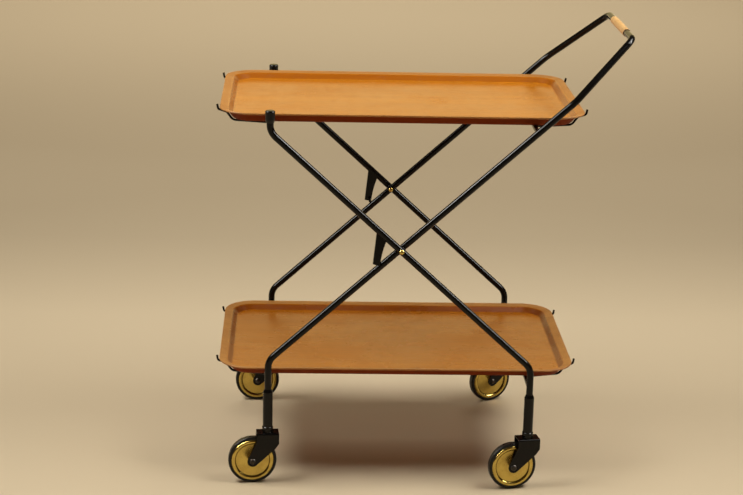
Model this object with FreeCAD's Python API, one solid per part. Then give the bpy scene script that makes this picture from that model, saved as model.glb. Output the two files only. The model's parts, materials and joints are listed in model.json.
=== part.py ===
import FreeCAD, Part
import math
import os

# Folding serving trolley: two crossed tube frames on castors, with two lift-off trays.
# Millimetres. +X runs along the trolley to the handle, +Y to the back, +Z up, floor at z = 0.
# Shapes are drawn with the pivot over x = 0, then moved so that the whole trolley is centred.

V = FreeCAD.Vector
Y_AXIS = V(0, 1, 0)
Z_AXIS = V(0, 0, 1)
SIDES = {"front": -1, "back": 1}
ENDS = {"left": -1, "right": 1}

# Clearances
RUNNING_GAP = 0.05
FREE_GAP = 0.3

# Frame tubes
TUBE_D = 11.2
TUBE_BORE = 8.4
PIVOT_Z = 406.0
ARM_SLOPE = math.tan(math.radians(42.2))
LEG_X = {"left": 213.5, "right": 217.5}
HANDLE_FRAME_Y = 196.0
LEG_FRAME_Y = 212.0
LEG_BOTTOM_Z = 90.0
ARM_BEND_R = 28.0

# Handle
HANDLE_BEND_X = 271.5
HANDLE_BEND_R = 40.0
HANDLE_X = 368.5
HANDLE_Z = 742.0
HANDLE_HALF_WIDTH = 125.0
HANDLE_CORNER_R = 22.0
GRIP_LENGTH = 132.0
GRIP_D = 13.6
GRIP_SOCKET_DEPTH = 15.0
GRIP_ROUND = 0.8
DOWEL_INSERT = 25.0
TUBE_END_Y = GRIP_LENGTH / 2 - GRIP_SOCKET_DEPTH

# Caps on the upper ends of the leg frame; the back one is pushed further down
CAP_D = 15.8
CAP_TOP_Z = {SIDES["front"]: 634.5, SIDES["back"]: 628.5}
CAP_HEIGHT = 20.0
CAP_TAPER = 5.0
CAP_MOUTH_WALL = 0.7
CAP_ROUND = 2.5
CAP_ROOF = 4.0

# Pivot rivets and washers
RIVET_D = 5.0
RIVET_HEAD_D = 8.0
RIVET_HEAD_H = 2.2
WASHER_D = 10.0

# Stop plates on the leg frame
STOP_THICK = 4.0
STOP_PLANE_Y = 207.0
STOP_TOP_LEFT = (-40.3, 442.5)
STOP_TOP_RIGHT = (-22.9, 426.8)
STOP_WAIST = (-31.3, 400.0)
STOP_BOTTOM_RIGHT = (-34.2, 380.0)
STOP_BOTTOM_LEFT = (-46.1, 383.0)
STOP_PEG_D = 5.0
STOP_PEG_ALONG = 42.0
STOP_PEG_INNER_Y = 192.0

# Trays
TRAY_LENGTH = 592.0
TRAY_WIDTH = 368.0
RIM_CORNER_R = 53.0

# Tray section: each corner as its distance out from the edge of the flat base and its height
TRAY_BASE = 6.4
WALL_FOOT = (6.0, TRAY_BASE)
WALL_HEAD = (14.0, 15.3)
RIM_TOP = (28.0, 18.4)
RIM_LOW = (27.5, 15.6)
LIP_ROOT = (15.0, 12.4)
WALL_TOE = (5.5, 0.0)
FOOT_BEND_R = 4.5
HEAD_BEND_R = 5.0
RIM_ROUND = 1.1
LIP_BEND_R = 5.0
TOE_BEND_R = 9.0

# Tray rails, each by its distance from the pivot and its height
RAIL_D = 8.0
RAIL_PLACE = {
    ("upper", "left"): (212.0, 601.0),
    ("upper", "right"): (213.5, 601.0),
    ("lower", "left"): (LEG_X["left"], 173.0),
    ("lower", "right"): (LEG_X["right"], 173.0),
}

# Hooks: bends by distance from the pivot and rise from the root, which lies just below the rail's top
HOOK_D = 3.6
HOOK_SINK = 0.2
HOOK_ROOT_Y = 156.0
HOOK_TIP_Y = 133.0
HOOK_BASE = (274.5, 0.0)
HOOK_LIP = (284.4, 12.5)
HOOK_KNEE = (298.4, 16.0)
HOOK_TIP = (299.9, 24.2)
HOOK_BENDS_R = [11.0, 5.0, 4.0]

# Castors
WHEEL_R = 40.0
CASTOR_TRAIL = 25.0
CASTOR_TURN = {
    ("left", "front"): 5.0,
    ("left", "back"): 4.0,
    ("right", "front"): 10.0,
    ("right", "back"): 24.0,
}
FORK_TOP_Z = 88.3
FORK_HALF_LENGTH = 18.4
FORK_WIDTH = 27.0
FORK_SHEET = 2.0
FORK_NOSE_Z = 70.5
FORK_CHAMFER = (12.5, 62.0)
FORK_TAIL_Z = 74.0
FORK_EYE_R = 9.0
FORK_BEND_R = 2.6
STEM_LENGTH = 45.0
STEM_SHOULDER_D = 13.0
STEM_SHOULDER_H = 1.0
STEM_HEAD_D = 12.0
STEM_HEAD_H = 1.5
AXLE_D = 6.0
AXLE_HEAD_D = 10.0
AXLE_HEAD_H = 2.6
SOCKET_D = 16.2
SOCKET_TOP_Z = 163.0
SOCKET_TAPER = 5.0
SOCKET_MOUTH_WALL = 0.4
COLLAR_D = 18.2
COLLAR_H = 8.0
COLLAR_CHAMFER = 0.8

# Wheel section, as distances from the axle and from the wheel's middle plane
BUSH_D = 9.0
BUSH_END_GAP = 0.3
DISC_SHEET = 1.2
DISC_HUB = (9.0, 10.6)
DISC_VALLEY = (28.3, 5.0)
DISC_CREST = (32.0, 7.6)
DISC_EDGE = (35.2, 5.2)
TYRE_SEAT_R = 27.5
TYRE_SHOULDER_R = 35.4
TYRE_HALF_WIDTH = 6.2
TYRE_ROUND = 2.4

# Worked-out places
FORK_GAP = FORK_WIDTH - 2 * FORK_SHEET
HOOK_TIP_LEAN = math.atan2(HOOK_TIP[0] - HOOK_KNEE[0], HOOK_TIP[1] - HOOK_KNEE[1])
LEFT_REACH = HOOK_TIP[0] + HOOK_D / 2 * math.cos(HOOK_TIP_LEAN)
RIGHT_REACH = HANDLE_X + GRIP_D / 2
ORIGIN_SHIFT = V((LEFT_REACH - RIGHT_REACH) / 2, 0, 0)


def rounded_path(points, radii):
    """Straight runs through the points, with a tangent arc at each inner point."""
    edges = []
    start = points[0]
    for before, corner, after, radius in zip(points, points[1:], points[2:], radii):
        back = (before - corner).normalize()
        ahead = (after - corner).normalize()
        half_angle = back.getAngle(ahead) / 2
        reach = radius / math.tan(half_angle)
        inward = (back + ahead).normalize()
        arc_start = corner + back * reach
        arc_middle = corner + inward * (radius / math.sin(half_angle) - radius)
        arc_end = corner + ahead * reach
        edges.append(Part.makeLine(start, arc_start))
        edges.append(Part.Arc(arc_start, arc_middle, arc_end).toShape())
        start = arc_end
    edges.append(Part.makeLine(start, points[-1]))
    return Part.Wire(edges)


def round_bar(path, diameter):
    """A solid bar of round section along the path."""
    first = path.Edges[0]
    start = first.valueAt(first.FirstParameter)
    direction = first.tangentAt(first.FirstParameter)
    section = Part.Face(Part.Wire(Part.makeCircle(diameter / 2, start, direction)))
    return path.makePipe(section)


def turned(profile, axis=Z_AXIS):
    """A closed profile of edges turned once about an axis through the origin."""
    return Part.Face(Part.Wire(profile)).revolve(V(0, 0, 0), axis, 360)


def polygon(points):
    """The straight edges of a closed outline."""
    return Part.makePolygon(points + points[:1]).Edges


def pin(diameter, base, length, axis):
    return Part.makeCylinder(diameter / 2, length, base, axis)


def domed_rivet(shank_d, head_d, head_h, centre, length):
    """A rivet along Y with a low domed head at each end; length is the grip between the heads."""
    half = length / 2
    head_r = head_d / 2
    ball_r = (head_r ** 2 + head_h ** 2) / (2 * head_h)
    half_turn = math.asin(head_r / ball_r) / 2
    crown = V(ball_r * math.sin(half_turn), half + head_h - ball_r * (1 - math.cos(half_turn)))
    low_crown = V(crown.x, -crown.y)
    profile = [
        Part.makeLine(V(0, -half - head_h), V(0, half + head_h)),
        Part.Arc(V(0, half + head_h), crown, V(head_r, half)).toShape(),
        Part.makeLine(V(head_r, half), V(shank_d / 2, half)),
        Part.makeLine(V(shank_d / 2, half), V(shank_d / 2, -half)),
        Part.makeLine(V(shank_d / 2, -half), V(head_r, -half)),
        Part.Arc(V(head_r, -half), low_crown, V(0, -half - head_h)).toShape(),
    ]
    rivet = turned(profile, Y_AXIS)
    rivet.translate(centre)
    return rivet


# Frame tubes

def handle_path(side):
    """Up from the left foot, across the pivot and round to the middle of the handle."""
    foot_x = -LEG_X["left"]
    y = side * HANDLE_FRAME_Y
    points = [
        V(foot_x, y, LEG_BOTTOM_Z),
        V(foot_x, y, PIVOT_Z + foot_x * ARM_SLOPE),
        V(HANDLE_BEND_X, y, PIVOT_Z + HANDLE_BEND_X * ARM_SLOPE),
        V(HANDLE_X, side * HANDLE_HALF_WIDTH, HANDLE_Z),
        V(HANDLE_X, side * TUBE_END_Y, HANDLE_Z),
    ]
    return rounded_path(points, [ARM_BEND_R, HANDLE_BEND_R, HANDLE_CORNER_R])


def leg_path(side):
    """Up from the right foot, across the pivot and up to the capped end on the left."""
    foot_x = LEG_X["right"]
    end_x = -LEG_X["left"]
    y = side * LEG_FRAME_Y
    points = [
        V(foot_x, y, LEG_BOTTOM_Z),
        V(foot_x, y, PIVOT_Z - foot_x * ARM_SLOPE),
        V(end_x, y, PIVOT_Z - end_x * ARM_SLOPE),
        V(end_x, y, CAP_TOP_Z[side] - CAP_ROOF),
    ]
    return rounded_path(points, [ARM_BEND_R, ARM_BEND_R])


def frame_tube(path, frame_y, pivot_hole_d):
    """A tube with its bore, and a cross hole for the pivot rivet."""
    bore = round_bar(path, TUBE_BORE)
    hole_from = V(0, frame_y - TUBE_D, PIVOT_Z)
    pivot_hole = pin(pivot_hole_d, hole_from, 2 * TUBE_D, Y_AXIS)
    return round_bar(path, TUBE_D).cut(bore).cut(pivot_hole)


def handle_grip():
    half = GRIP_LENGTH / 2
    middle = V(HANDLE_X, 0, HANDLE_Z)
    body = pin(GRIP_D, middle - Y_AXIS * half, GRIP_LENGTH, Y_AXIS)
    body = body.makeFillet(GRIP_ROUND, [edge for edge in body.Edges if len(edge.Vertexes) == 1])
    body = body.cut(pin(TUBE_BORE, middle - Y_AXIS * half, GRIP_LENGTH, Y_AXIS))
    for side in SIDES.values():
        body = body.cut(pin(TUBE_D, middle + Y_AXIS * (side * half), GRIP_SOCKET_DEPTH, Y_AXIS * -side))
    return body


def grip_dowel():
    half = TUBE_END_Y + DOWEL_INSERT
    return pin(TUBE_BORE, V(HANDLE_X, -half, HANDLE_Z), 2 * half, Y_AXIS)


def leg_cap(side):
    """A cup pushed over the tube's upper end, with a tapered mouth and a rounded roof."""
    r = CAP_D / 2
    mouth_r = TUBE_D / 2 + CAP_MOUTH_WALL
    corner_r = r - CAP_ROUND
    shoulder_z = CAP_HEIGHT - CAP_ROUND
    diagonal = CAP_ROUND * math.sqrt(0.5)
    bend = V(corner_r + diagonal, 0, shoulder_z + diagonal)
    seat_z = CAP_HEIGHT - CAP_ROOF
    profile = [
        Part.makeLine(V(TUBE_D / 2, 0, 0), V(mouth_r, 0, 0)),
        Part.makeLine(V(mouth_r, 0, 0), V(r, 0, CAP_TAPER)),
        Part.makeLine(V(r, 0, CAP_TAPER), V(r, 0, shoulder_z)),
        Part.Arc(V(r, 0, shoulder_z), bend, V(corner_r, 0, CAP_HEIGHT)).toShape(),
        Part.makeLine(V(corner_r, 0, CAP_HEIGHT), V(0, 0, CAP_HEIGHT)),
        Part.makeLine(V(0, 0, CAP_HEIGHT), V(0, 0, seat_z)),
        Part.makeLine(V(0, 0, seat_z), V(TUBE_D / 2, 0, seat_z)),
        Part.makeLine(V(TUBE_D / 2, 0, seat_z), V(TUBE_D / 2, 0, 0)),
    ]
    cap = turned(profile)
    cap.translate(V(-LEG_X["left"], side * LEG_FRAME_Y, CAP_TOP_Z[side] - CAP_HEIGHT))
    return cap


# Pivot and stop

def pivot_rivet(side):
    """A rivet through both tubes, with a domed head on each side."""
    outer_y = LEG_FRAME_Y + TUBE_D / 2 + FREE_GAP
    inner_y = HANDLE_FRAME_Y - TUBE_D / 2
    centre = V(0, side * (outer_y + inner_y) / 2, PIVOT_Z)
    return domed_rivet(RIVET_D, RIVET_HEAD_D, RIVET_HEAD_H, centre, outer_y - inner_y)


def pivot_washer(side):
    thickness = LEG_FRAME_Y - HANDLE_FRAME_Y - TUBE_D - 2 * FREE_GAP
    base = V(0, side * (HANDLE_FRAME_Y + TUBE_D / 2 + FREE_GAP), PIVOT_Z)
    outward = Y_AXIS * side
    return pin(WASHER_D, base, thickness, outward).cut(pin(RIVET_D, base, thickness, outward))


def stop_plate(side, leg_tube_body):
    """A tapered plate welded under the leg tube, with a peg that bears on the handle tube."""
    plate_outer_y = STOP_PLANE_Y + STOP_THICK / 2
    corner = {name: V(x, side * plate_outer_y, z) for name, (x, z) in {
        "top_left": STOP_TOP_LEFT, "top_right": STOP_TOP_RIGHT, "waist": STOP_WAIST,
        "bottom_right": STOP_BOTTOM_RIGHT, "bottom_left": STOP_BOTTOM_LEFT}.items()}
    outline = [
        Part.makeLine(corner["bottom_left"], corner["top_left"]),
        Part.makeLine(corner["top_left"], corner["top_right"]),
        Part.Arc(corner["top_right"], corner["waist"], corner["bottom_right"]).toShape(),
        Part.makeLine(corner["bottom_right"], corner["bottom_left"]),
    ]
    inward = Y_AXIS * -side
    plate = Part.Face(Part.Wire(outline)).extrude(inward * STOP_THICK)
    down_arm = V(-1, 0, -ARM_SLOPE).normalize()
    off_arm = V(-ARM_SLOPE, 0, 1).normalize()
    stand_off = TUBE_D / 2 + STOP_PEG_D / 2 + FREE_GAP
    peg_centre = V(0, 0, PIVOT_Z) + down_arm * STOP_PEG_ALONG + off_arm * stand_off
    peg_length = plate_outer_y - STOP_PEG_INNER_Y
    peg = pin(STOP_PEG_D, peg_centre + Y_AXIS * (side * plate_outer_y), peg_length, inward)
    return plate.fuse(peg).cut(leg_tube_body).removeSplitter()


# Trays, rails and hooks

def tray_wall():
    """The section of the wall and lip, standing on the edge of the flat base at x = 0."""
    corners = [(0, TRAY_BASE), WALL_FOOT, WALL_HEAD, RIM_TOP, RIM_LOW, LIP_ROOT, WALL_TOE, (0, 0)]
    radii = [FOOT_BEND_R, HEAD_BEND_R, RIM_ROUND, RIM_ROUND, LIP_BEND_R, TOE_BEND_R]
    skin = rounded_path([V(x, 0, z) for x, z in corners], radii)
    base_edge = Part.makeLine(V(0, 0, 0), V(0, 0, TRAY_BASE))
    return Part.Face(Part.Wire(skin.Edges + [base_edge]))


def tray(height):
    """A flat base with sloping walls, a wide lip and rounded corners, moulded in one piece."""
    wall = tray_wall()
    overhang = wall.BoundBox.XMax
    half_x = TRAY_LENGTH / 2 - overhang
    half_y = TRAY_WIDTH / 2 - overhang
    corner_r = RIM_CORNER_R - overhang
    run_x = half_x - corner_r
    run_y = half_y - corner_r

    pieces = []
    for quarter in range(4):
        along, across = (run_y, half_x) if quarter % 2 == 0 else (run_x, half_y)
        straight = wall.copy()
        straight.translate(V(across, -along, 0))
        straight = straight.extrude(Y_AXIS * (2 * along))
        straight.rotate(V(0, 0, 0), Z_AXIS, 90 * quarter)
        pieces.append(straight)
        bend = wall.copy()
        bend.translate(V(corner_r, 0, 0))
        bend = bend.revolve(V(0, 0, 0), Z_AXIS, 90)
        bend.rotate(V(0, 0, 0), Z_AXIS, 90 * quarter)
        sign_x = 1 if quarter in (0, 3) else -1
        sign_y = 1 if quarter in (0, 1) else -1
        bend.translate(V(sign_x * run_x, sign_y * run_y, 0))
        pieces.append(bend)

    base = Part.makeBox(2 * half_x, 2 * half_y, TRAY_BASE, V(-half_x, -half_y, 0))
    base = base.makeFillet(corner_r, [edge for edge in base.Edges if abs(edge.tangentAt(0).z) > 0.5])
    body = base.fuse(pieces).removeSplitter()
    body.translate(Z_AXIS * height)
    return body


def tray_rail(end, place, frame_y, tubes):
    """A bar across a frame under a tray, its ends fitted to the tubes."""
    x, z = place
    bar = pin(RAIL_D, V(end * x, -frame_y, z), 2 * frame_y, Y_AXIS)
    for tube in tubes:
        bar = bar.cut(tube)
    return bar


def tray_hook(end, side, place, rail):
    """A bent wire from the rail under the tray's base, wall and lip to a tip outside the rim."""
    rail_x, rail_z = place
    base_z = rail_z + RAIL_D / 2 - HOOK_SINK - HOOK_D / 2
    slant = (HOOK_TIP_Y - HOOK_ROOT_Y) / (HOOK_TIP[0] - rail_x)
    points = []
    for x, rise in [(rail_x, 0), HOOK_BASE, HOOK_LIP, HOOK_KNEE, HOOK_TIP]:
        y = HOOK_ROOT_Y + slant * (x - rail_x)
        points.append(V(end * x, side * y, base_z + rise))
    wire = round_bar(rounded_path(points, HOOK_BENDS_R), HOOK_D)
    return wire.cut(rail)


# Castors, drawn with the stem on the z axis and the wheel trailing towards -X

def castor_socket():
    """A sleeve over the foot of a leg, with a collar at its lower end and a tapered upper end."""
    r = SOCKET_D / 2
    outline = [
        V(TUBE_D / 2, 0, LEG_BOTTOM_Z),
        V(COLLAR_D / 2, 0, LEG_BOTTOM_Z),
        V(COLLAR_D / 2, 0, LEG_BOTTOM_Z + COLLAR_H - COLLAR_CHAMFER),
        V(COLLAR_D / 2 - COLLAR_CHAMFER, 0, LEG_BOTTOM_Z + COLLAR_H),
        V(r, 0, LEG_BOTTOM_Z + COLLAR_H),
        V(r, 0, SOCKET_TOP_Z - SOCKET_TAPER),
        V(TUBE_D / 2 + SOCKET_MOUTH_WALL, 0, SOCKET_TOP_Z),
        V(TUBE_D / 2, 0, SOCKET_TOP_Z),
    ]
    return turned(polygon(outline))


def tangent_point(outside, centre, radius, turn):
    """Where a line from a point touches a circle in the XZ plane, on the side that turn names."""
    away = outside - centre
    angle = math.atan2(away.z, away.x) + turn * math.acos(radius / away.Length)
    return centre + V(math.cos(angle), 0, math.sin(angle)) * radius


def castor_fork():
    """A pressed fork: a roof and two cheeks that narrow to an eye at the axle."""
    eye = V(-CASTOR_TRAIL, 0, WHEEL_R)
    nose = V(FORK_CHAMFER[0], 0, FORK_CHAMFER[1])
    tail = V(-FORK_HALF_LENGTH, 0, FORK_TAIL_Z)
    eye_low = tangent_point(nose, eye, FORK_EYE_R, -1)
    eye_high = tangent_point(tail, eye, FORK_EYE_R, 1)
    eye_tip = eye + (eye - (nose + tail) * 0.5).normalize() * FORK_EYE_R
    outline = [
        Part.makeLine(V(FORK_HALF_LENGTH, 0, FORK_TOP_Z), V(FORK_HALF_LENGTH, 0, FORK_NOSE_Z)),
        Part.makeLine(V(FORK_HALF_LENGTH, 0, FORK_NOSE_Z), nose),
        Part.makeLine(nose, eye_low),
        Part.Arc(eye_low, eye_tip, eye_high).toShape(),
        Part.makeLine(eye_high, tail),
        Part.makeLine(tail, V(-FORK_HALF_LENGTH, 0, FORK_TOP_Z)),
        Part.makeLine(V(-FORK_HALF_LENGTH, 0, FORK_TOP_Z), V(FORK_HALF_LENGTH, 0, FORK_TOP_Z)),
    ]
    blank = Part.Face(Part.Wire(outline)).extrude(Y_AXIS * FORK_WIDTH)
    blank.translate(Y_AXIS * (-FORK_WIDTH / 2))
    roof_edges = [
        edge for edge in blank.Edges
        if edge.BoundBox.ZMin > FORK_TOP_Z - 0.1 and edge.BoundBox.XLength > FORK_HALF_LENGTH
    ]
    blank = blank.makeFillet(FORK_BEND_R, roof_edges)
    roof_z = FORK_TOP_Z - FORK_SHEET
    room_length = 2 * (CASTOR_TRAIL + FORK_HALF_LENGTH)
    room = Part.makeBox(room_length, FORK_GAP, roof_z, V(-room_length / 2, -FORK_GAP / 2, 0))
    stem_hole = pin(TUBE_BORE - 2 * RUNNING_GAP, V(0, 0, roof_z), FORK_SHEET, Z_AXIS)
    axle_hole = pin(AXLE_D, eye - Y_AXIS * (FORK_WIDTH / 2), FORK_WIDTH, Y_AXIS)
    return blank.cut(room).cut(stem_hole).cut(axle_hole)


def castor_stem():
    """The swivel pin: a shouldered pin in the leg's bore, headed over under the fork's roof."""
    roof_z = FORK_TOP_Z - FORK_SHEET
    shank = pin(TUBE_BORE - 2 * RUNNING_GAP, V(0, 0, roof_z), FORK_SHEET + STEM_LENGTH, Z_AXIS)
    shoulder = pin(STEM_SHOULDER_D, V(0, 0, FORK_TOP_Z), STEM_SHOULDER_H, Z_AXIS)
    head = pin(STEM_HEAD_D, V(0, 0, roof_z - STEM_HEAD_H), STEM_HEAD_H, Z_AXIS)
    return shank.fuse([shoulder, head]).removeSplitter()


def castor_axle():
    eye = V(-CASTOR_TRAIL, 0, WHEEL_R)
    return domed_rivet(AXLE_D, AXLE_HEAD_D, AXLE_HEAD_H, eye, FORK_WIDTH)


def wheel_piece(profile):
    """A wheel piece from its section, where x is the radius and y the distance along the axle."""
    piece = turned(profile, Y_AXIS)
    piece.translate(V(-CASTOR_TRAIL, 0, WHEEL_R))
    return piece


def wheel_bush():
    half = FORK_GAP / 2 - BUSH_END_GAP
    inner_r = AXLE_D / 2 + RUNNING_GAP
    outer_r = BUSH_D / 2
    return wheel_piece(polygon([V(inner_r, -half), V(outer_r, -half), V(outer_r, half), V(inner_r, half)]))


def wheel_disc(side):
    """A pressed disc: raised hub, dished web and a rolled rim that holds the tyre."""
    hub_r, hub_out = DISC_HUB

    def at(radius, out, inside):
        return V(radius, side * (out - DISC_SHEET * inside))

    def face_edges(inside):
        return [
            Part.makeLine(at(BUSH_D / 2, hub_out, inside), at(hub_r, hub_out, inside)),
            Part.makeLine(at(hub_r, hub_out, inside), at(*DISC_VALLEY, inside)),
            Part.Arc(at(*DISC_VALLEY, inside), at(*DISC_CREST, inside), at(*DISC_EDGE, inside)).toShape(),
        ]

    ends = [
        Part.makeLine(at(BUSH_D / 2, hub_out, 0), at(BUSH_D / 2, hub_out, 1)),
        Part.makeLine(at(*DISC_EDGE, 0), at(*DISC_EDGE, 1)),
    ]
    return wheel_piece(Part.__sortEdges__(face_edges(0) + face_edges(1) + ends))


def wheel_tyre():
    """A rubber ring seated between the discs, with rounded tread edges."""
    seat = DISC_VALLEY[1] - DISC_SHEET
    wide = TYRE_HALF_WIDTH
    tread = wide - TYRE_ROUND
    round_r = WHEEL_R - TYRE_ROUND
    diagonal = TYRE_ROUND * math.sqrt(0.5)
    low_bend = V(round_r + diagonal, -tread - diagonal)
    high_bend = V(round_r + diagonal, tread + diagonal)
    half = [V(TYRE_SEAT_R, -seat), V(TYRE_SHOULDER_R, -seat), V(TYRE_SHOULDER_R, -wide), V(round_r, -wide)]
    other_half = [V(point.x, -point.y) for point in reversed(half)]
    profile = [Part.makeLine(a, b) for chain in (half, other_half) for a, b in zip(chain, chain[1:])]
    profile.append(Part.Arc(half[-1], low_bend, V(WHEEL_R, -tread)).toShape())
    profile.append(Part.makeLine(V(WHEEL_R, -tread), V(WHEEL_R, tread)))
    profile.append(Part.Arc(V(WHEEL_R, tread), high_bend, other_half[0]).toShape())
    profile.append(Part.makeLine(other_half[-1], half[0]))
    return wheel_piece(Part.__sortEdges__(profile))


def castor_nodes(end_name, side_name):
    """All pieces of one castor and its socket, turned about the stem and set under its leg."""
    frame_y = HANDLE_FRAME_Y if end_name == "left" else LEG_FRAME_Y
    place = V(ENDS[end_name] * LEG_X[end_name], SIDES[side_name] * frame_y, 0)
    pieces = {
        "castor_fork": castor_fork(),
        "castor_stem": castor_stem(),
        "castor_axle": castor_axle(),
        "wheel_bush": wheel_bush(),
        "wheel_disc_front": wheel_disc(SIDES["front"]),
        "wheel_disc_back": wheel_disc(SIDES["back"]),
        "wheel_tyre": wheel_tyre(),
        "castor_socket": castor_socket(),
    }
    nodes = {}
    for name, shape in pieces.items():
        shape.rotate(V(0, 0, 0), Z_AXIS, CASTOR_TURN[end_name, side_name])
        shape.translate(place)
        nodes[f"{name}_{end_name}_{side_name}"] = shape
    return nodes


def trolley():
    """Every node of the trolley, by name."""
    nodes = {}
    handle_bodies = []
    leg_bodies = []
    running_hole_d = RIVET_D + 2 * RUNNING_GAP
    for name, side in SIDES.items():
        handle_bodies.append(round_bar(handle_path(side), TUBE_D))
        leg_bodies.append(round_bar(leg_path(side), TUBE_D))
        nodes[f"handle_tube_{name}"] = frame_tube(handle_path(side), side * HANDLE_FRAME_Y, RIVET_D)
        nodes[f"leg_tube_{name}"] = frame_tube(leg_path(side), side * LEG_FRAME_Y, running_hole_d)
        nodes[f"leg_cap_{name}"] = leg_cap(side)
        nodes[f"pivot_rivet_{name}"] = pivot_rivet(side)
        nodes[f"pivot_washer_{name}"] = pivot_washer(side)
        nodes[f"stop_plate_{name}"] = stop_plate(side, leg_bodies[-1])
    nodes["handle_grip"] = handle_grip()
    nodes["grip_dowel"] = grip_dowel()

    for (level, end_name), place in RAIL_PLACE.items():
        on_handle_frame = (level == "lower") == (end_name == "left")
        frame_y = HANDLE_FRAME_Y if on_handle_frame else LEG_FRAME_Y
        tubes = handle_bodies if on_handle_frame else leg_bodies
        rail = tray_rail(ENDS[end_name], place, frame_y, tubes)
        nodes[f"{level}_tray_rail_{end_name}"] = rail
        for side_name, side in SIDES.items():
            hook = tray_hook(ENDS[end_name], side, place, rail)
            nodes[f"{level}_hook_{end_name}_{side_name}"] = hook
    for level in ("upper", "lower"):
        rail_z = RAIL_PLACE[level, "left"][1]
        nodes[f"{level}_tray"] = tray(rail_z + RAIL_D / 2 + FREE_GAP)
    for end_name in ENDS:
        for side_name in SIDES:
            nodes.update(castor_nodes(end_name, side_name))
    return nodes


os.makedirs("parts", exist_ok=True)
for node_name, node_shape in trolley().items():
    node_shape.translate(ORIGIN_SHIFT)
    node_shape.exportStep(f"parts/{node_name}.step")
    print(f"{node_name}: valid {node_shape.isValid()}, solids {len(node_shape.Solids)}, "
          f"{node_shape.Volume / 1000:.2f} cm3")
print(f"pivot at x = {ORIGIN_SHIFT.x:.3f} mm")
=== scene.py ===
# %% [markdown]
# # A folding tray trolley
#
# The trolley is two bent steel frames that cross like scissors. Two moulded teak trays hang on wire
# hooks across them, and four castors with brass wheels carry the whole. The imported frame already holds
# every piece at its real size and place, so this lesson dresses it: some nodes keep their shape and get
# a real finish, and the pieces that show most are modelled again, finer, where the frame says they are.

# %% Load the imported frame
import json
import math

import bpy
from mathutils import Matrix, Vector


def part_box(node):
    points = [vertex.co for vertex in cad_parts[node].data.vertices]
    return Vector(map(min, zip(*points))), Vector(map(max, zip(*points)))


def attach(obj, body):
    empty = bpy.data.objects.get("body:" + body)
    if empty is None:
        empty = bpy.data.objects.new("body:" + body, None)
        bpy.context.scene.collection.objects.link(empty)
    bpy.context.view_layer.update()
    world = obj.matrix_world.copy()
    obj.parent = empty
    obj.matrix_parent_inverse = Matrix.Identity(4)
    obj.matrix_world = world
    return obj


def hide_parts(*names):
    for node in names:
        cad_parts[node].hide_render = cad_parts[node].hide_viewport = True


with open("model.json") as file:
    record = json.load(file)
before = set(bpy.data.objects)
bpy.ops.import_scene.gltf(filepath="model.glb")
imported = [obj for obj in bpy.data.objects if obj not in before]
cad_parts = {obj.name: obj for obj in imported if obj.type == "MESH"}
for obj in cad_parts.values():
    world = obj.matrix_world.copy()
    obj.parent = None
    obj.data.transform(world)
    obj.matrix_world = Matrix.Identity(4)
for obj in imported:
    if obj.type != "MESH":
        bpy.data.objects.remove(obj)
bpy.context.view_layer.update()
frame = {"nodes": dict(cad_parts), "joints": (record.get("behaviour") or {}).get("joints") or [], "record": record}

MM = 0.001
joints = {joint["name"]: joint for joint in frame["joints"]}
slot_of = {part["node"]: part["material_slot"] for part in frame["record"]["subparts"]}
bpy.ops.object.select_all(action="DESELECT")

# %% [markdown]
# ## Tools for the bench
#
# Operators act on whatever is selected, so every step starts by leaving one object selected and active.
# A finished piece keeps its place in its mesh: its object goes back to the origin, unturned and
# unscaled, which is also where the frame's own nodes sit. Then it is tied to the body it moves with.

# %% Selecting, finishing and tying a piece
def pick(piece):
    """Leave one object selected and active."""
    bpy.ops.object.select_all(action="DESELECT")
    piece.select_set(True)
    bpy.context.view_layer.objects.active = piece


def edit(piece):
    pick(piece)
    bpy.ops.object.mode_set(mode="EDIT")
    bpy.ops.mesh.select_all(action="SELECT")


def leave_edit():
    bpy.ops.object.mode_set(mode="OBJECT")


def apply_place(piece):
    """Put the object's place, turn and size into its mesh."""
    pick(piece)
    bpy.ops.object.transform_apply(location=True, rotation=True, scale=True)


def apply_modifiers(piece):
    pick(piece)
    for modifier in list(piece.modifiers):
        bpy.ops.object.modifier_apply(modifier=modifier.name)


def smooth(piece, sharp_above=35):
    pick(piece)
    bpy.ops.object.shade_smooth_by_angle(angle=math.radians(sharp_above))


def tie(piece, body, stands_for=()):
    """The piece moves with a body, and may stand for nodes of the frame."""
    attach(piece, body)
    if stands_for:
        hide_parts(*stands_for)


def copy_of(piece, name):
    """A copy with a mesh of its own."""
    pick(piece)
    bpy.ops.object.duplicate(linked=False)
    twin = bpy.context.active_object
    twin.name = name
    return twin

# %% [markdown]
# A turned or spun piece is a ring drawn out step by step along its axis: extrude the ring, then scale it
# to the next radius, as a lathe or a spinning chuck would shape it. The radius at each point is kept as
# an attribute, so that a finish can follow the marks that turning leaves.

# %% A lathe
def lathe(name, rings, sides=96):
    """Draw a circle out along Z through (radius, height) rings; rings that end where they began close up."""
    radius, height = rings[0]
    bpy.ops.mesh.primitive_circle_add(vertices=sides, radius=radius, location=(0, 0, 0))
    piece = bpy.context.active_object
    piece.name = name
    edit(piece)
    bpy.ops.transform.translate(value=(0, 0, height))
    for next_radius, next_height in rings[1:]:
        rise = next_height - height
        bpy.ops.mesh.extrude_region_move(TRANSFORM_OT_translate={"value": (0, 0, rise)})
        widen = next_radius / radius
        bpy.ops.transform.resize(value=(widen, widen, 1), center_override=(0, 0, next_height))
        radius, height = next_radius, next_height
    bpy.ops.mesh.select_all(action="SELECT")
    bpy.ops.mesh.remove_doubles(threshold=1e-7)
    bpy.ops.mesh.normals_make_consistent(inside=False)
    leave_edit()
    return piece


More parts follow.
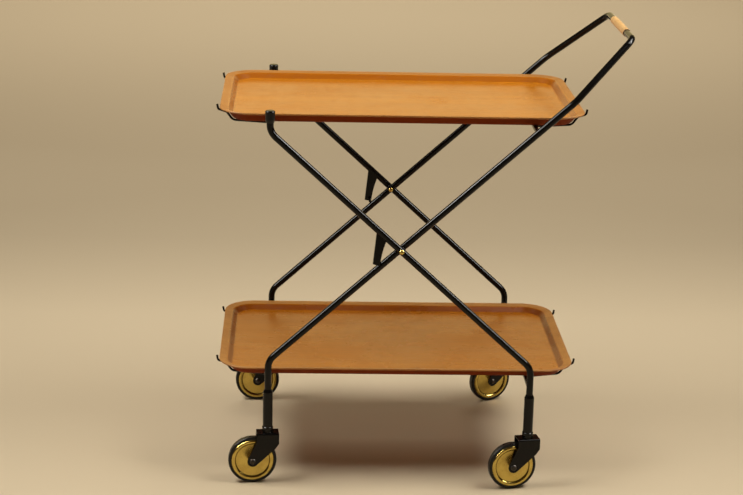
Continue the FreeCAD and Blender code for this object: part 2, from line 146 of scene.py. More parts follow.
def keep_radius(piece):
    """Store each point's distance from the axis, in millimetres, as an attribute."""
    kept = piece.data.attributes.new("turned_radius", "FLOAT", "POINT")
    for point in piece.data.vertices:
        kept.data[point.index].value = math.hypot(point.co.x, point.co.y) / MM


def set_on_axis(piece, place, axis):
    """Turn a lathe piece so that its +Z lies along the axis, and set it at the place."""
    upright = Vector(axis).to_track_quat("Z", "Y").to_matrix().to_4x4()
    piece.matrix_world = Matrix.Translation(Vector(place)) @ upright
    apply_place(piece)


def arc(centre, radius, start, end, steps):
    """Ring stations on a circular arc, angles in degrees in the (radius, height) plane."""
    stations = []
    for step in range(steps + 1):
        angle = math.radians(start + (end - start) * step / steps)
        stations.append((centre[0] + radius * math.cos(angle), centre[1] + radius * math.sin(angle)))
    return stations

# %% [markdown]
# ## Finishes
#
# A finish is a Principled BSDF fed by a few procedural patterns. Patterns that several finishes share
# are node groups, built once: the grain of wood, the fine unevenness of a sprayed or polished surface,
# and the wear on edges. Each finish places them with its own values. Patterns read Object coordinates,
# and because every piece sits at the origin, those are metres on the trolley itself.

# %% Node helpers
def add(tree, kind, settings=None, **inputs):
    """Add a node; each keyword is an input, given a value or joined to a socket."""
    made = tree.nodes.new(kind)
    for key, value in (settings or {}).items():
        setattr(made, key, value)
    for key, value in inputs.items():
        feed(tree, made.inputs[key.replace("_", " ")], value)
    return made


def feed(tree, socket, value):
    if isinstance(value, bpy.types.NodeSocket):
        tree.links.new(value, socket)
    else:
        socket.default_value = value


def calc(tree, operation, first, second=0.0):
    """The result of a Math node."""
    made = tree.nodes.new("ShaderNodeMath")
    made.operation = operation
    feed(tree, made.inputs[0], first)
    feed(tree, made.inputs[1], second)
    return made.outputs[0]


def span(tree, value, low, high, to_low=0.0, to_high=1.0):
    """Stretch a value from one range to another, clamped."""
    made = add(tree, "ShaderNodeMapRange", Value=value)
    made.inputs["From Min"].default_value = low
    made.inputs["From Max"].default_value = high
    made.inputs["To Min"].default_value = to_low
    made.inputs["To Max"].default_value = to_high
    return made.outputs["Result"]


def blend(tree, factor, first, second):
    """Mix two colours, through the sockets that a Mix node keeps for colours."""
    made = tree.nodes.new("ShaderNodeMix")
    made.data_type = "RGBA"
    feed(tree, made.inputs[0], factor)
    feed(tree, made.inputs[6], first)
    feed(tree, made.inputs[7], second)
    return made.outputs[2]


def noise(tree, vector, scale, detail=3.0, roughness=0.5):
    made = add(tree, "ShaderNodeTexNoise", Vector=vector, Scale=scale, Detail=detail, Roughness=roughness)
    return made.outputs["Fac"]


def new_group(name, inputs, outputs):
    """An empty node group with named sockets; returns its tree, inlet and outlet nodes."""
    tree = bpy.data.node_groups.new(name, "ShaderNodeTree")
    for label, kind, value in inputs:
        socket = tree.interface.new_socket(name=label, in_out="INPUT", socket_type=kind)
        if value is not None:
            socket.default_value = value
    for label, kind in outputs:
        tree.interface.new_socket(name=label, in_out="OUTPUT", socket_type=kind)
    return tree, tree.nodes.new("NodeGroupInput").outputs, tree.nodes.new("NodeGroupOutput").inputs


FLOAT = "NodeSocketFloat"
VECTOR = "NodeSocketVector"

# %% Wood grain, shared by the trays and the grip
def grain_group():
    """Grain that runs along X of the vector it is given, in metres across."""
    tree, given, result = new_group(
        "wood_grain",
        [
            ("Vector", VECTOR, None),
            ("Bands", FLOAT, 22.0),
            ("Streaks", FLOAT, 260.0),
            ("Pores", FLOAT, 1500.0),
        ],
        [("Tone", FLOAT), ("Pores", FLOAT), ("Height", FLOAT)],
    )
    wander = noise(tree, given["Vector"], 9.0, 2.0)
    drift = add(tree, "ShaderNodeVectorMath", {"operation": "SCALE"}, Vector=(0.0, 0.03, 0.0))
    tree.links.new(wander, drift.inputs["Scale"])
    bent = add(tree, "ShaderNodeVectorMath", {"operation": "ADD"})
    feed(tree, bent.inputs[0], given["Vector"])
    feed(tree, bent.inputs[1], drift.outputs["Vector"])
    along = bent.outputs["Vector"]
    bands = span(tree, noise(tree, along, given["Bands"], 2.0), 0.3, 0.7)
    streaks = span(tree, noise(tree, along, given["Streaks"], 4.0, 0.6), 0.28, 0.72)
    pore_noise = noise(tree, along, given["Pores"], 1.0)
    pores = span(tree, pore_noise, 0.62, 0.72)
    tone = calc(tree, "ADD", calc(tree, "MULTIPLY", bands, 0.45), calc(tree, "MULTIPLY", streaks, 0.55))
    tree.links.new(tone, result["Tone"])
    tree.links.new(pores, result["Pores"])
    tree.links.new(calc(tree, "SUBTRACT", calc(tree, "MULTIPLY", streaks, 0.35), pores), result["Height"])
    return tree


# %% Fine unevenness, shared by lacquer, plastic, metal and rubber
def finish_group():
    """Hand smudges, spray unevenness and settled dust."""
    tree, given, result = new_group(
        "fine_finish",
        [
            ("Vector", VECTOR, None),
            ("Smudges", FLOAT, 28.0),
            ("Peel", FLOAT, 700.0),
            ("Dust", FLOAT, 2600.0),
        ],
        [("Smudge", FLOAT), ("Peel", FLOAT), ("Dust", FLOAT)],
    )
    smudge = span(tree, noise(tree, given["Vector"], given["Smudges"], 5.0, 0.6), 0.35, 0.7)
    peel = noise(tree, given["Vector"], given["Peel"], 1.0)
    specks = span(tree, noise(tree, given["Vector"], given["Dust"], 2.0), 0.66, 0.78)
    facing = add(tree, "ShaderNodeSeparateXYZ", Vector=add(tree, "ShaderNodeNewGeometry").outputs["Normal"])
    upward = span(tree, facing.outputs["Z"], 0.35, 1.0)
    tree.links.new(smudge, result["Smudge"])
    tree.links.new(peel, result["Peel"])
    tree.links.new(calc(tree, "MULTIPLY", specks, upward), result["Dust"])
    return tree


# %% Edge wear, shared by everything that gets handled
def wear_group():
    """A mask that is bright on convex edges, broken up by noise."""
    tree, given, result = new_group(
        "edge_wear",
        [
            ("Vector", VECTOR, None),
            ("Width", FLOAT, 0.0012),
            ("Breakup", FLOAT, 180.0),
            ("Amount", FLOAT, 0.5),
        ],
        [("Mask", FLOAT)],
    )
    rounded = add(tree, "ShaderNodeBevel", {"samples": 4}, Radius=given["Width"])
    normal = add(tree, "ShaderNodeNewGeometry").outputs["Normal"]
    agree = add(tree, "ShaderNodeVectorMath", {"operation": "DOT_PRODUCT"})
    feed(tree, agree.inputs[0], rounded.outputs["Normal"])
    feed(tree, agree.inputs[1], normal)
    turned_away = calc(tree, "SUBTRACT", 1.0, agree.outputs["Value"])
    edge = span(tree, turned_away, 0.02, 0.16)
    breakup = span(tree, noise(tree, given["Vector"], given["Breakup"], 4.0, 0.65), 0.45, 0.65)
    worn = calc(tree, "MULTIPLY", edge, breakup)
    tree.links.new(calc(tree, "MULTIPLY", worn, given["Amount"]), result["Mask"])
    return tree


WOOD_GRAIN = grain_group()
FINE_FINISH = finish_group()
EDGE_WEAR = wear_group()
print("node groups:", WOOD_GRAIN.name, FINE_FINISH.name, EDGE_WEAR.name)

# %% Start a material and place groups in it
def start(name, colour):
    """A new material; returns it with its tree, its shader and its Object coordinates."""
    material = bpy.data.materials.new(name)
    material.use_nodes = True
    material.diffuse_color = (*colour, 1.0)
    tree = material.node_tree
    shader = tree.nodes["Principled BSDF"]
    where = add(tree, "ShaderNodeTexCoord").outputs["Object"]
    return material, tree, shader, where


def use_group(tree, group, **inputs):
    made = tree.nodes.new("ShaderNodeGroup")
    made.node_tree = group
    for key, value in inputs.items():
        feed(tree, made.inputs[key], value)
    return made.outputs


def bump(tree, shader, height, depth, strength=1.0):
    made = add(tree, "ShaderNodeBump", Height=height, Distance=depth, Strength=strength)
    tree.links.new(made.outputs["Normal"], shader.inputs["Normal"])


def stretched(tree, where, scale, turn=(0, 0, 0)):
    """Object coordinates squeezed along the grain."""
    return add(tree, "ShaderNodeMapping", Vector=where, Scale=scale, Rotation=turn).outputs["Vector"]

# %% [markdown]
# ### Black lacquer
#
# The frames are stoved gloss black: almost no colour of its own, a clear sharp highlight along each
# tube, a trace of spray texture, and a little bare steel where edges have been knocked.

# %% Black lacquer
def black_lacquer(name, roughness, wear):
    dark = (0.0040, 0.0038, 0.0038)
    material, tree, shader, where = start(name, dark)
    fine = use_group(tree, FINE_FINISH, Vector=where)
    worn = use_group(tree, EDGE_WEAR, Vector=where, Amount=wear)["Mask"]
    dusted = blend(tree, calc(tree, "MULTIPLY", fine["Dust"], 0.10), (*dark, 1), (0.30, 0.27, 0.22, 1))
    feed(tree, shader.inputs["Base Color"], blend(tree, worn, dusted, (0.16, 0.13, 0.10, 1)))
    sheen = span(tree, fine["Smudge"], 0.0, 1.0, roughness - 0.03, roughness + 0.06)
    feed(tree, shader.inputs["Roughness"], calc(tree, "ADD", sheen, calc(tree, "MULTIPLY", worn, 0.25)))
    shader.inputs["IOR"].default_value = 1.29
    bump(tree, shader, fine["Peel"], 0.00004, 0.5)
    return material


lacquer = black_lacquer("black_lacquer", 0.12, 0.35)
print("made", lacquer.name)

# %% [markdown]
# ### Teak
#
# The trays are moulded with a teak face. The grain runs the length of the tray and carries on up its
# walls, so one pattern stretched along X suits the whole moulding. The lacquer over it is satin. On the
# steep walls the colour is painted deeper, as painted shade. The lower tray is a copy painted a little
# darker, as painted shade from the tray above. The outside is painted a deep red-brown, as painted shade
# under the lip, and the thin rim between is painted paler, as a painted sheen.

# %% Teak
# painted shade: the deep red-brown that the steep tray walls are painted towards
WALL_SHADE_TONE = (0.260, 0.045, 0.002, 1)


def teak(name, pale, deep, pore, shine, ior, wall_shade_amount=0.0):
    material, tree, shader, where = start(name, pale)
    grain = use_group(tree, WOOD_GRAIN, Vector=stretched(tree, where, (0.035, 1.0, 1.0)))
    colour = blend(tree, grain["Tone"], (*deep, 1), (*pale, 1))
    colour = blend(tree, calc(tree, "MULTIPLY", grain["Pores"], 0.42), colour, (*pore, 1))
    facing = add(tree, "ShaderNodeSeparateXYZ", Vector=add(tree, "ShaderNodeNewGeometry").outputs["Normal"])
    # painted shade: the steeper the face, the more its colour is pulled towards that deep tone
    wall_shade_mask = span(tree, facing.outputs["Z"], 0.92, 0.72, 0.0, wall_shade_amount)
    feed(tree, shader.inputs["Base Color"], blend(tree, wall_shade_mask, colour, WALL_SHADE_TONE))
    fine = use_group(tree, FINE_FINISH, Vector=where, Smudges=14.0)
    satin = span(tree, fine["Smudge"], 0.0, 1.0, shine, shine + 0.12)
    dull = calc(tree, "MULTIPLY", grain["Pores"], 0.15)
    feed(tree, shader.inputs["Roughness"], calc(tree, "ADD", satin, dull))
    shader.inputs["IOR"].default_value = ior
    bump(tree, shader, grain["Height"], 0.00006, 0.6)
    return material


teak_face = teak(
    "teak_face", pale=(0.590, 0.210, 0.012), deep=(0.430, 0.135, 0.006), pore=(0.20, 0.048, 0.003),
    shine=0.16, ior=1.48, wall_shade_amount=0.45)
# painted shade: the lower tray's copy of the teak is painted darker, for the shade of the tray above
teak_lower_painted_shade = teak(
    "teak_lower_painted_shade", pale=(0.510, 0.170, 0.007), deep=(0.370, 0.108, 0.003), pore=(0.17, 0.040, 0.002),
    shine=0.22, ior=1.46, wall_shade_amount=0.60)
# painted shade: the outside of the trays is painted a dark red-brown, for the shade under the lip
teak_back_painted_shade = teak(
    "teak_back_painted_shade", pale=(0.240, 0.036, 0.001), deep=(0.155, 0.020, 0.001), pore=(0.04, 0.005, 0.001),
    shine=0.55, ior=1.20)
# painted sheen: the thin rim band is painted paler, for the light caught on its rounded edge
teak_rim_painted_sheen = teak(
    "teak_rim_painted_sheen", pale=(0.560, 0.260, 0.060), deep=(0.380, 0.140, 0.024), pore=(0.18, 0.055, 0.008),
    shine=0.42, ior=1.40)
print("made", teak_face.name, teak_lower_painted_shade.name, teak_back_painted_shade.name, teak_rim_painted_sheen.name)

# %% [markdown]
# ### Grip wood
#
# The grip is a pale, close-grained wood, turned and clear-lacquered. Its grain runs along Y. The faces at
# the two ends, which point along the grain, are coloured dark brown.

# %% Grip wood
def grip_wood():
    pale = (0.760, 0.455, 0.185, 1)
    material, tree, shader, where = start("grip_wood", pale[:3])
    along_y = stretched(tree, where, (0.05, 1.0, 1.0), (0, 0, math.radians(-90)))
    grain = use_group(tree, WOOD_GRAIN, Vector=along_y, Bands=90.0, Streaks=520.0, Pores=2600.0)
    colour = blend(tree, grain["Tone"], (0.600, 0.315, 0.100, 1), pale)
    colour = blend(tree, calc(tree, "MULTIPLY", grain["Pores"], 0.25), colour, (0.36, 0.17, 0.05, 1))
    facing = add(tree, "ShaderNodeSeparateXYZ", Vector=add(tree, "ShaderNodeNewGeometry").outputs["Normal"])
    # faces that point along Y, at the two ends, are coloured dark brown
    end_faces_dark = span(tree, calc(tree, "ABSOLUTE", facing.outputs["Y"]), 0.75, 0.98)
    feed(tree, shader.inputs["Base Color"], blend(tree, end_faces_dark, colour, (0.17, 0.065, 0.02, 1)))
    fine = use_group(tree, FINE_FINISH, Vector=where, Smudges=60.0)
    feed(tree, shader.inputs["Roughness"], span(tree, fine["Smudge"], 0.0, 1.0, 0.30, 0.42))
    bump(tree, shader, grain["Height"], 0.00004, 0.5)
    return material


grip_finish = grip_wood()
print("made", grip_finish.name)

# %% [markdown]
# ### Brass
#
# The wheel discs are pressed and spun brass. Spinning leaves fine rings round the axle, so the roughness
# and a slight bump follow the turned radius. Age gives it brown and olive patches. The groove beside the
# rolled rim is painted dark, as painted shade.

# %% Brass
GROOVE_R = 28.3


def brass(name, spun):
    gold = (0.600, 0.450, 0.120, 1)
    material, tree, shader, where = start(name, gold[:3])
    fine = use_group(tree, FINE_FINISH, Vector=where, Smudges=45.0)
    patches = span(tree, noise(tree, where, 60.0, 4.0, 0.6), 0.45, 0.75, 0.0, 0.55)
    colour = blend(tree, patches, gold, (0.300, 0.190, 0.045, 1))
    shine = span(tree, fine["Smudge"], 0.0, 1.0, 0.13, 0.26)
    height = fine["Peel"]
    if spun:
        radius = add(tree, "ShaderNodeAttribute", {"attribute_name": "turned_radius"}).outputs["Fac"]
        rings = add(tree, "ShaderNodeTexNoise", {"noise_dimensions": "1D"}, W=radius, Scale=2.6, Detail=3.0)
        from_groove = calc(tree, "ABSOLUTE", calc(tree, "SUBTRACT", radius, GROOVE_R))
        # painted shade: the colour darkens towards the groove's radius, for the shade in the valley
        painted_groove_shade = calc(tree, "SUBTRACT", 1.0, span(tree, from_groove, 0.2, 1.3))
        colour = blend(tree, calc(tree, "MULTIPLY", painted_groove_shade, 0.75), colour, (0.060, 0.034, 0.010, 1))
        shine = calc(tree, "ADD", shine, span(tree, rings.outputs["Fac"], 0.35, 0.65, -0.03, 0.06))
        height = rings.outputs["Fac"]
    feed(tree, shader.inputs["Base Color"], colour)
    feed(tree, shader.inputs["Roughness"], shine)
    shader.inputs["Metallic"].default_value = 1.0
    bump(tree, shader, height, 0.00003, 0.5)
    return material


spun_brass = brass("spun_brass", spun=True)
rivet_brass = brass("rivet_brass", spun=False)
print("made", spun_brass.name, rivet_brass.name)

# %% [markdown]
# ### Rubber, plastic and plain steel
#
# The tyres are black rubber, with a little floor dust where they roll. The end caps are moulded
# plastic, a softer gloss than the lacquer. Pins and washers are plain turned steel.

# %% Rubber, plastic and steel
def tyre_rubber():
    dark = (0.005, 0.0045, 0.004)
    material, tree, shader, where = start("tyre_rubber", dark)
    fine = use_group(tree, FINE_FINISH, Vector=where, Smudges=70.0, Peel=1400.0)
    radius = add(tree, "ShaderNodeAttribute", {"attribute_name": "turned_radius"}).outputs["Fac"]
    tread = span(tree, radius, 38.4, 39.9)
    dusty = calc(tree, "MULTIPLY", calc(tree, "MULTIPLY", fine["Smudge"], tread), 0.15)
    feed(tree, shader.inputs["Base Color"], blend(tree, dusty, (*dark, 1), (0.13, 0.11, 0.085, 1)))
    feed(tree, shader.inputs["Roughness"], span(tree, fine["Smudge"], 0.0, 1.0, 0.24, 0.40))
    shader.inputs["IOR"].default_value = 1.36
    bump(tree, shader, fine["Peel"], 0.00006, 0.6)
    return material


def cap_plastic():
    dark = (0.004, 0.004, 0.004)
    material, tree, shader, where = start("cap_plastic", dark)
    fine = use_group(tree, FINE_FINISH, Vector=where, Smudges=80.0, Peel=1100.0)
    worn = use_group(tree, EDGE_WEAR, Vector=where, Width=0.0008, Breakup=400.0, Amount=0.2)["Mask"]
    dusted = blend(tree, calc(tree, "MULTIPLY", fine["Dust"], 0.1), (*dark, 1), (0.30, 0.27, 0.22, 1))
    feed(tree, shader.inputs["Base Color"], blend(tree, worn, dusted, (0.05, 0.05, 0.05, 1)))
    feed(tree, shader.inputs["Roughness"], span(tree, fine["Smudge"], 0.0, 1.0, 0.18, 0.28))
    shader.inputs["IOR"].default_value = 1.36
    bump(tree, shader, fine["Peel"], 0.00004, 0.5)
    return material


def plain_steel(name, colour, roughness):
    material, tree, shader, where = start(name, colour)
    fine = use_group(tree, FINE_FINISH, Vector=where, Smudges=120.0)
    tarnish = span(tree, noise(tree, where, 240.0, 4.0), 0.45, 0.75, 0.0, 0.6)
    feed(tree, shader.inputs["Base Color"], blend(tree, tarnish, (*colour, 1), (0.10, 0.07, 0.045, 1)))
    feed(tree, shader.inputs["Roughness"], span(tree, fine["Smudge"], 0.0, 1.0, roughness, roughness + 0.15))
    shader.inputs["Metallic"].default_value = 1.0
    bump(tree, shader, fine["Peel"], 0.00003, 0.4)
    return material


rubber = tyre_rubber()
plastic = cap_plastic()
steel = plain_steel("plain_steel", (0.42, 0.41, 0.40), 0.3)
axle_steel = plain_steel("axle_steel", (0.05, 0.046, 0.042), 0.28)
print("made", rubber.name, plastic.name, steel.name, axle_steel.name)

# %% [markdown]
# ## Nodes that keep their shape
#
# Tubes, rails, hooks, stop plates, sockets, forks, rivets and pins are right as they are, so they only
# take a finish. The record says which slot each node belongs to.

# %% Give the frame's nodes their finishes
finish_of_slot = {
    "black_lacquer": lacquer,
    "cap_plastic": plastic,
    "teak_veneer": teak_face,
    "grip_wood": grip_finish,
    "brass": rivet_brass,
    "tyre_rubber": rubber,
    "steel": steel,
}
for node, shown in frame["nodes"].items():
    finish = axle_steel if node.startswith("castor_axle") else finish_of_slot[slot_of[node]]
    shown.data.materials.clear()
    shown.data.materials.append(finish)
print("dressed", len(frame["nodes"]), "nodes")

# %% [markdown]
# ## The trays
#
# Each tray is one moulded sheet: a flat floor, a sloping wall and a wide lip. Its section is given by the
# corners it would have if nothing were rounded, going from the floor out over the rim and back under to
# the base. Each corner is then bent to its radius.

# %% The section of a tray
SECTION = [
    (0.0, 6.4),
    (6.0, 6.4),
    (14.0, 15.3),
    (28.0, 18.4),
    (27.5, 15.6),
    (15.0, 12.4),
    (5.5, 0.0),
    (0.0, 0.0),
]
BEND_R = [4.5, 5.0, 1.1, 1.1, 5.0, 9.0]
BEND_STEPS = 7


def rounded(points, radii):
    """Stations along straight runs with a tangent arc at each inner point."""
    stations = [Vector(points[0])]
    for before, corner, after, radius in zip(points, points[1:], points[2:], radii):
        back = (Vector(before) - Vector(corner)).normalized()
        ahead = (Vector(after) - Vector(corner)).normalized()
        half = back.angle(ahead) / 2
        centre = Vector(corner) + (back + ahead).normalized() * (radius / math.sin(half))
        first = Vector(corner) + back * (radius / math.tan(half)) - centre
        last = Vector(corner) + ahead * (radius / math.tan(half)) - centre
        for step in range(BEND_STEPS + 1):
            stations.append(centre + first.lerp(last, step / BEND_STEPS).normalized() * radius)
    stations.append(Vector(points[-1]))
    return [station * MM for station in stations]


section = rounded(SECTION, BEND_R)
outermost = max(range(len(section)), key=lambda index: section[index].x)
print(len(section), "stations, rim", round(section[outermost].x / MM, 2), "mm out from the base")

# %% [markdown]
# The tray is drawn as two skins that meet at the rim. A plate with rounded corners is pushed in by inset
# after inset through the stations: up over the rim and down to the floor for the face, and under the lip
# to the base for the back. A new ring takes the finish of the plate it came from, so the plate changes
# from the rim's paler finish, a painted sheen, to its own once it is past the rim.

# %% Press a tray
RIM_CORNER_R = 53.0 * MM
RIM_BAND = 1.6 * MM
CORNER_STEPS = 20


def draw_skin(name, low, high, stations, finish):
    middle = (low + high) / 2
    bpy.ops.mesh.primitive_plane_add(size=1, location=(middle.x, middle.y, low.z + stations[0].y))
    skin = bpy.context.active_object
    skin.name = name
    skin.scale = (high.x - low.x, high.y - low.y, 1)
    apply_place(skin)
    skin.data.materials.append(teak_rim_painted_sheen)
    skin.data.materials.append(finish)
    edit(skin)
    bpy.ops.mesh.bevel(affect="VERTICES", offset=RIM_CORNER_R, segments=CORNER_STEPS)
    bpy.ops.mesh.select_all(action="SELECT")
    for here, following in zip(stations, stations[1:]):
        if stations[0].x - here.x > RIM_BAND:
            skin.active_material_index = 1
            bpy.ops.object.material_slot_assign()
        bpy.ops.mesh.inset(thickness=here.x - following.x, depth=following.y - here.y)
    leave_edit()
    return skin


def press_tray(node, face):
    low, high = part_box(node)
    tray = draw_skin(f"{node}_moulding", low, high, section[outermost::-1], face)
    back = draw_skin(f"{node}_back", low, high, section[outermost:], teak_back_painted_shade)
    pick(tray)
    back.select_set(True)
    bpy.ops.object.join()
    edit(tray)
    bpy.ops.mesh.remove_doubles(threshold=1e-6)
    bpy.ops.mesh.normals_make_consistent(inside=False)
    leave_edit()
    smooth(tray)
    return tray


for node, face in (("upper_tray", teak_face), ("lower_tray", teak_lower_painted_shade)):
    moulding = press_tray(node, face)
    tie(moulding, node, [node])
    print(moulding.name, len(moulding.data.polygons), "faces")

# %% [markdown]
# ## The wheels
#
# A wheel is two spun brass discs riveted over a bush, with a rubber tyre held between them. Each disc
# has a raised hub, a shallow cone, a groove and a rolled rim. It is drawn out on the lathe as a single
# skin and then given the thickness of the sheet.

# %% Spin a brass disc
DISC_SHEET = 1.2
HUB_BORE_R = 4.5
HUB_R = 9.0
HUB_OUT = 10.6
HUB_EDGE = [(-1.2, 0.0), (-0.5, 0.12), (0.3, 0.55)]
HUB_FOOT = (1.2, 1.0)
VALLEY = (GROOVE_R, 5.0)
VALLEY_EASE = (0.5, 0.1)
CREST_OUT = 7.6
EDGE = (35.2, 5.2)
EDGE_TURN = 0.8
CONE_STEPS = 8
CONE_SAG = 0.5
ROLL_STEPS = 14


def disc_rings():
    """Stations of the disc's outer face, in millimetres from the axle and from the wheel's middle."""
    rings = [(HUB_BORE_R, HUB_OUT)]
    rings += [(HUB_R + past, HUB_OUT - drop) for past, drop in HUB_EDGE]
    foot = (HUB_R + HUB_FOOT[0], HUB_OUT - HUB_FOOT[1])
    for step in range(CONE_STEPS + 1):
        share = step / CONE_STEPS
        sag = CONE_SAG * math.sin(math.pi * share)
        rings.append((
            foot[0] + (VALLEY[0] - VALLEY_EASE[0] - foot[0]) * share,
            foot[1] + (VALLEY[1] + VALLEY_EASE[1] - foot[1]) * share - sag,
        ))
    rings.append(VALLEY)
    half_width = (EDGE[0] - VALLEY[0]) / 2
    for step in range(1, ROLL_STEPS + 1):
        angle = math.pi * (1 - step / ROLL_STEPS)
        base = VALLEY[1] + (EDGE[1] - VALLEY[1]) * step / ROLL_STEPS
        rings.append((
            VALLEY[0] + half_width * (1 + math.cos(angle)),
            base + (CREST_OUT - VALLEY[1]) * math.sin(angle),
        ))
    rings.append((EDGE[0], EDGE[1] - EDGE_TURN))
    return [(radius * MM, out * MM) for radius, out in rings]


def spin_disc():
    disc = lathe("disc_pattern", disc_rings())
    sheet = disc.modifiers.new("sheet", "SOLIDIFY")
    sheet.thickness = DISC_SHEET * MM
    sheet.offset = -1
    apply_modifiers(disc)
    keep_radius(disc)
    smooth(disc, 40)
    disc.data.materials.append(spun_brass)
    return disc


disc_pattern = spin_disc()
print("disc", len(disc_pattern.data.polygons), "faces")

# %% [markdown]
# The tyre is a closed ring: seat, flat sides with a small moulded step, rounded shoulders and a tread
# with the fine flash line that the two halves of its mould leave.

# %% Mould a tyre
TYRE_SEAT_R = 27.5
TYRE_STEP_R = 35.4
TREAD_R = 40.0
SEAT_HALF = 3.8
SIDE_HALF = 6.2
STEP_BEVEL = 0.3
SHOULDER_R = 2.4
FLASH = 0.12
FLASH_HALF = 0.35
TREAD_HALF = 1.2
SHOULDER_STEPS = 8


def tyre_rings():
    """The ring's closed section, in millimetres from the axle and along it."""
    shoulder = (TREAD_R - SHOULDER_R, SIDE_HALF - SHOULDER_R)
    half = [(TYRE_SEAT_R, SEAT_HALF), (TYRE_STEP_R, SEAT_HALF)]
    half += [(TYRE_STEP_R, SIDE_HALF - STEP_BEVEL), (TYRE_STEP_R + STEP_BEVEL, SIDE_HALF)]
    half += arc(shoulder, SHOULDER_R, 90, 0, SHOULDER_STEPS)
    half += [(TREAD_R - FLASH, TREAD_HALF), (TREAD_R - FLASH, FLASH_HALF)]
    other = [(radius, -along) for radius, along in reversed(half)]
    outline = half + [(TREAD_R, 0.0)] + other
    outline.append(outline[0])
    return [(radius * MM, along * MM) for radius, along in outline]


tyre_pattern = lathe("tyre_pattern", tyre_rings())
keep_radius(tyre_pattern)
smooth(tyre_pattern, 40)
tyre_pattern.data.materials.append(rubber)
print("tyre", len(tyre_pattern.data.polygons), "faces")

# %% Fit the wheels to their castors
for corner in ("left_front", "left_back", "right_front", "right_back"):
    spin = joints[f"wheel_spin_{corner}"]
    for side, sign in (("front", -1), ("back", 1)):
        disc = copy_of(disc_pattern, f"wheel_disc_{side}_{corner}_spun")
        set_on_axis(disc, spin["pos_m"], Vector(spin["axis"]) * sign)
        tie(disc, f"wheel_{corner}", [f"wheel_disc_{side}_{corner}"])
    tyre = copy_of(tyre_pattern, f"wheel_tyre_{corner}_moulded")
    set_on_axis(tyre, spin["pos_m"], spin["axis"])
    tie(tyre, f"wheel_{corner}", [f"wheel_tyre_{corner}"])
for pattern in (disc_pattern, tyre_pattern):
    bpy.data.objects.remove(pattern)
print("fitted the wheels")

# %% [markdown]
# ## The grip
#
# The grip is a turned wooden sleeve over the two tube ends. It swells a little towards the middle of the
# hand, its ends are eased, and each end shows a narrow dark ring where the tube goes in.

# %% Turn the grip
GRIP_SWELL = 0.15
GRIP_EASE = 0.45
EASE_STEPS = 6
BELLY_STEPS = 8
TUBE_R = 5.6
SOCKET_DEPTH = 12.0
SOCKET_EASE = (0.25, 0.3)


def grip_rings(half_length, end_r):
    """The sleeve's closed section from the socket at one end, over the outside, to the other socket."""
    half = [(TUBE_R, half_length - SOCKET_DEPTH), (TUBE_R, half_length - SOCKET_EASE[1])]
    half += [(TUBE_R + SOCKET_EASE[0], half_length)]
    half += arc((end_r - GRIP_EASE, half_length - GRIP_EASE), GRIP_EASE, 90, 0, EASE_STEPS)
    belly = []
    for step in range(1, BELLY_STEPS):
        share = step / BELLY_STEPS
        along = (half_length - GRIP_EASE) * (1 - 2 * share)
        belly.append((end_r + GRIP_SWELL * math.sin(math.pi * share), along))
    other = [(radius, -along) for radius, along in reversed(half)]
    outline = half + belly + other
    outline.append(outline[0])
    return [(radius * MM, along * MM) for radius, along in outline]


grip_low, grip_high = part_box("handle_grip")
grip_middle = (grip_low + grip_high) / 2
grip_half = (grip_high.y - grip_low.y) / 2 / MM
grip_end_r = (grip_high.z - grip_low.z) / 2 / MM - GRIP_SWELL
grip = lathe("handle_grip_turned", grip_rings(grip_half, grip_end_r), sides=64)
set_on_axis(grip, grip_middle, (0, 1, 0))
smooth(grip, 40)
grip.data.materials.append(grip_finish)
tie(grip, "handle_frame", ["handle_grip"])
print("grip", len(grip.data.polygons), "faces")

# %% [markdown]
# ## Floor, light and camera
#
# A plain pale floor runs far back and turns a little duller there. To the sides and the front, beyond the
# lamps, it is pale to the eye without lighting the trolley. Two soft boxes stand high to the left and
# right, so the trolley's shadow is darkest in the middle. One under the ceiling lights the far floor and is
# kept out of reflections. Three more are seen only there: a wide low box behind draws the sheen across the
# trays, and a strip at each side draws the thin highlights along the tubes.

# %% Floor
FLOOR_SIZE = 60.0
FAR_FROM = (0.7, 1.3)
LIT_PLACE = (0.0, 4.9, 0.0)
FADE_PAST_TROLLEY = (1.8, 3.8)
FADE_PAST_LIT = (2.8, 4.6)
GLOW = 0.7


def pale_floor():
    near = (0.735, 0.615, 0.420)
    far = (0.640, 0.535, 0.365)
    material, tree, shader, where = start("pale_floor", near)
    back = add(tree, "ShaderNodeSeparateXYZ", Vector=where).outputs["Y"]
    colour = blend(tree, span(tree, back, *FAR_FROM), (*near, 1), (*far, 1))
    feed(tree, shader.inputs["Base Color"], colour)
    from_trolley = add(tree, "ShaderNodeVectorMath", {"operation": "LENGTH"}, Vector=where)
    from_lit = add(tree, "ShaderNodeVectorMath", {"operation": "DISTANCE"}, Vector=where)
    from_lit.inputs[1].default_value = LIT_PLACE
    past_trolley = span(tree, from_trolley.outputs["Value"], *FADE_PAST_TROLLEY)
    past_lit = span(tree, from_lit.outputs["Value"], *FADE_PAST_LIT)
    unlit = calc(tree, "MULTIPLY", past_trolley, past_lit)
    path = add(tree, "ShaderNodeLightPath").outputs
    seen = calc(tree, "ADD", path["Is Camera Ray"], path["Is Glossy Ray"])
    glow = calc(tree, "MULTIPLY", unlit, seen)
    feed(tree, shader.inputs["Emission Color"], blend(tree, glow, (0, 0, 0, 1), colour))
    shader.inputs["Emission Strength"].default_value = GLOW
    shader.inputs["Roughness"].default_value = 0.8
    shader.inputs["Specular IOR Level"].default_value = 0.15
    return material


bpy.ops.mesh.primitive_plane_add(size=FLOOR_SIZE, location=(0, 0, 0))
floor = bpy.context.active_object
floor.name = "floor"
floor.data.materials.append(pale_floor())

# %% Light
TROLLEY_MIDDLE = Vector((0.0, 0.0, 0.4))
LAMP_WHITE = (1.0, 0.97, 0.92)


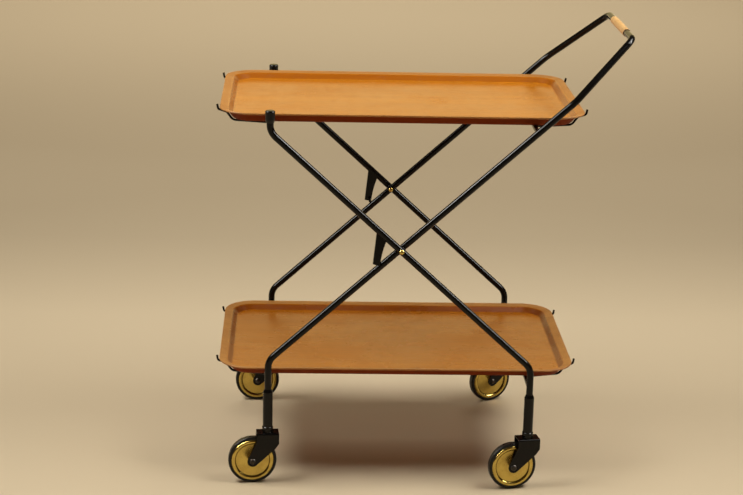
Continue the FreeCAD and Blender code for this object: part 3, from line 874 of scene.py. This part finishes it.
def soft_box(name, place, aim, width, height, power, colour):
    """A rectangular lamp at a place, facing the aim. Returns the object that holds it."""
    lamp = bpy.data.lights.new(name, "AREA")
    lamp.shape = "RECTANGLE"
    lamp.size = width
    lamp.size_y = height
    lamp.energy = power
    lamp.color = colour
    holder = bpy.data.objects.new(name, lamp)
    bpy.context.scene.collection.objects.link(holder)
    holder.location = place
    holder.rotation_euler = (Vector(aim) - Vector(place)).to_track_quat("-Z", "Y").to_euler()
    return holder


soft_box("left_box", (-1.10, -0.25, 1.75), TROLLEY_MIDDLE, 1.0, 0.6, 21, LAMP_WHITE)
soft_box("right_box", (1.03, -0.25, 1.75), TROLLEY_MIDDLE, 1.0, 0.6, 21, LAMP_WHITE)
ceiling_box = soft_box("ceiling_box", (0.0, 4.9, 3.6), LIT_PLACE, 5.0, 3.0, 140, (1.0, 0.94, 0.86))
ceiling_box.visible_glossy = False
mirrored = [
    soft_box("back_box", (0.0, 6.0, 1.7), (0.0, 0.0, 0.6), 9.0, 3.0, 63, (1.0, 0.80, 0.36)),
    soft_box("left_strip", (-2.05, -0.5, 1.85), TROLLEY_MIDDLE, 0.5, 1.3, 60, LAMP_WHITE),
    soft_box("right_strip", (2.05, -0.5, 1.85), TROLLEY_MIDDLE, 0.5, 1.3, 60, LAMP_WHITE),
]
for box in mirrored:
    box.visible_diffuse = False

world = bpy.data.worlds.new("room")
world.use_nodes = True
backdrop = world.node_tree.nodes["Background"]
backdrop.inputs["Color"].default_value = (1.0, 0.62, 0.28, 1)
backdrop.inputs["Strength"].default_value = 0.08
bpy.context.scene.world = world

# %% Camera
PHOTO_WIDTH = 743
FOCAL_PIXELS = 1934.9
SENSOR = 36.0
CAMERA_PLACE = (-0.2094, -3.2009, 1.2688)
CAMERA_YAW = 2.37
CAMERA_PITCH = 15.98
CAMERA_ROLL = 1.36

lens = bpy.data.cameras.new("photo_camera")
lens.sensor_width = SENSOR
lens.lens = FOCAL_PIXELS * SENSOR / PHOTO_WIDTH
camera = bpy.data.objects.new("photo_camera", lens)
bpy.context.scene.collection.objects.link(camera)
heading = Matrix.Rotation(math.radians(-CAMERA_YAW), 4, "Z")
tilt = Matrix.Rotation(math.radians(90 - CAMERA_PITCH), 4, "X")
roll = Matrix.Rotation(math.radians(CAMERA_ROLL), 4, "Z")
camera.matrix_world = Matrix.Translation(CAMERA_PLACE) @ heading @ tilt @ roll
bpy.context.scene.camera = camera
bpy.context.scene.view_settings.view_transform = "Standard"
